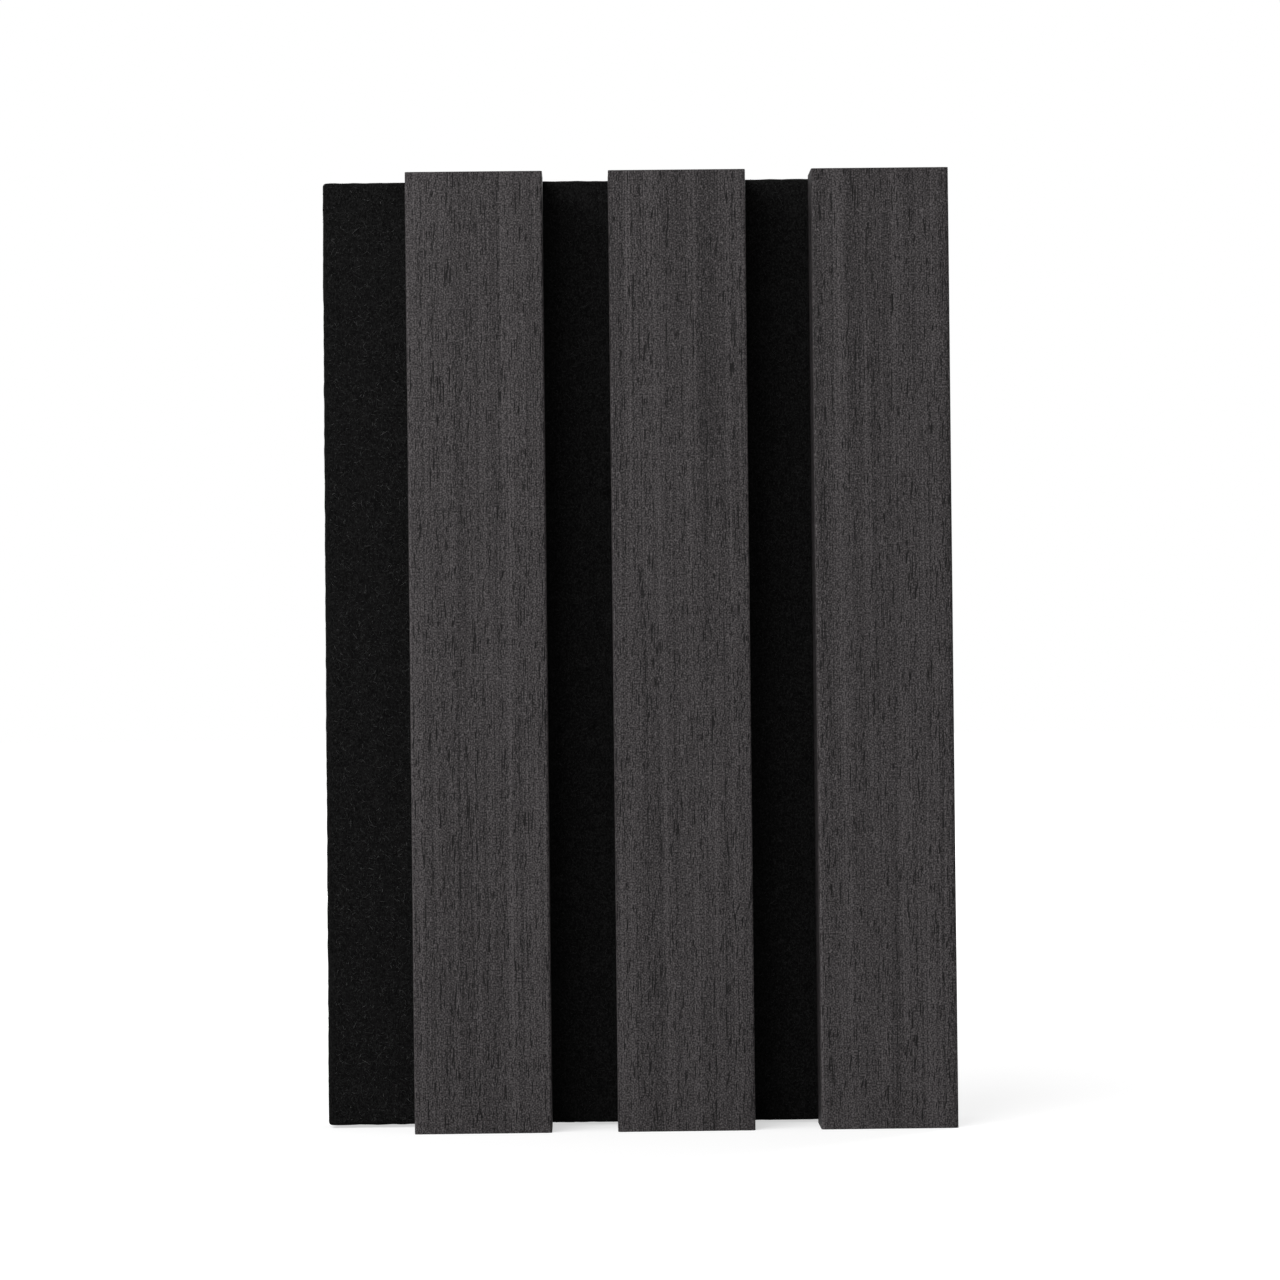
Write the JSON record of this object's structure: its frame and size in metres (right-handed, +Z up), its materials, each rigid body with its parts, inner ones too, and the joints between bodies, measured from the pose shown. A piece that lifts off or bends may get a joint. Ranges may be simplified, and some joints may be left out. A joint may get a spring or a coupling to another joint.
{
  "type": "acoustic slat wall panel",
  "caption": "Short length of acoustic slat wall panel: charcoal veneered slats, evenly spaced on a black felt board that leaves a free margin along one side.",
  "frame": {"origin": "middle of the felt board's back face, on the wall", "axes": "+X to the right as seen from the room, +Y into the wall, +Z up along the slats"},
  "size_m": [0.1246, 0.021, 0.1892],
  "materials": {
    "veneer": "matte",
    "core": "matte",
    "felt": "matte",
    "staple": "satin"
  },
  "bodies": {
    "root": {"felt_backing": "felt", "slat_core_left": "core", "slat_core_centre": "core", "slat_core_right": "core", "slat_veneer_left": "veneer", "slat_veneer_centre": "veneer", "slat_veneer_right": "veneer", "staples": "staple"}
  },
  "joints": []
}
